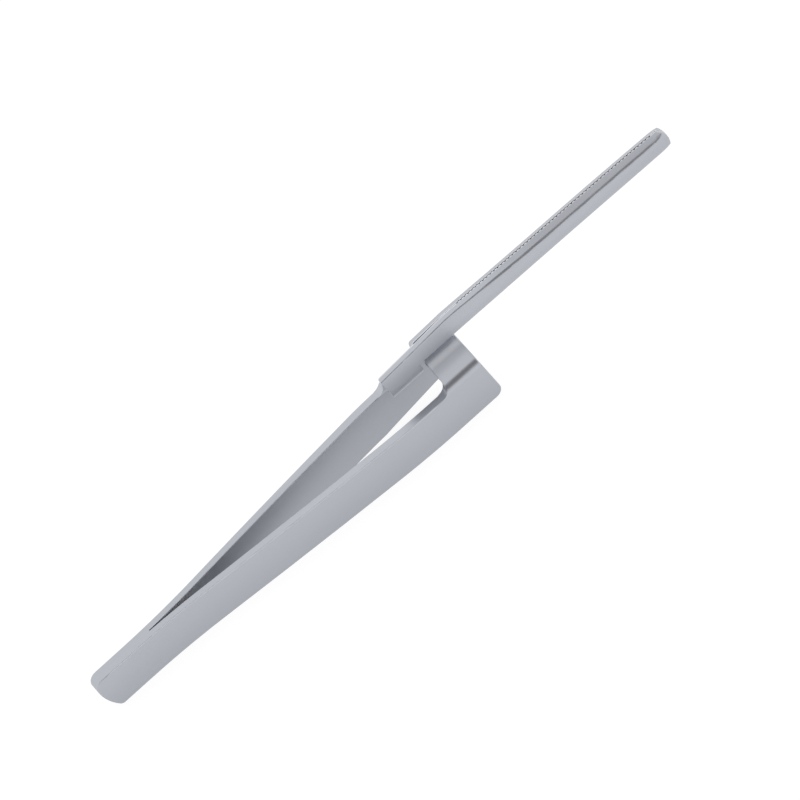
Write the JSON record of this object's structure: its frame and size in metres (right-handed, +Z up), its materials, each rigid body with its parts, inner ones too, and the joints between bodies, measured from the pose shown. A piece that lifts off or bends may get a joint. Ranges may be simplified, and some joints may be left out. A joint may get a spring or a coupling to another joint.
{
  "type": "cross-action bracket forceps",
  "caption": "Cross-action bracket forceps: bowed flat spring arms brazed at the rear, webs that cross over the middle, and long serrated jaws that open when squeezed.",
  "frame": {"origin": "on the surface that the forceps lie on, under the middle of their length and width", "axes": "+X from the brazed rear end to the jaw tips, +Z up, Y the way that the arms open"},
  "size_m": [0.155, 0.0146, 0.0194],
  "materials": {
    "left_arm_steel": "satin stainless steel",
    "right_arm_steel": "satin stainless steel"
  },
  "bodies": {
    "left_arm": {"left_arm": "left_arm_steel"},
    "right_arm": {"right_arm": "right_arm_steel"}
  },
  "joints": [
    {"name": "squeeze", "type": "hinge", "parent": "left_arm", "child": "right_arm", "pos_m": [-0.0585, 0, 0], "axis": [0, 0, 1], "range_deg": [0, 6], "stiffness_Nm_per_rad": 2, "springref_deg": -1.72}
  ]
}
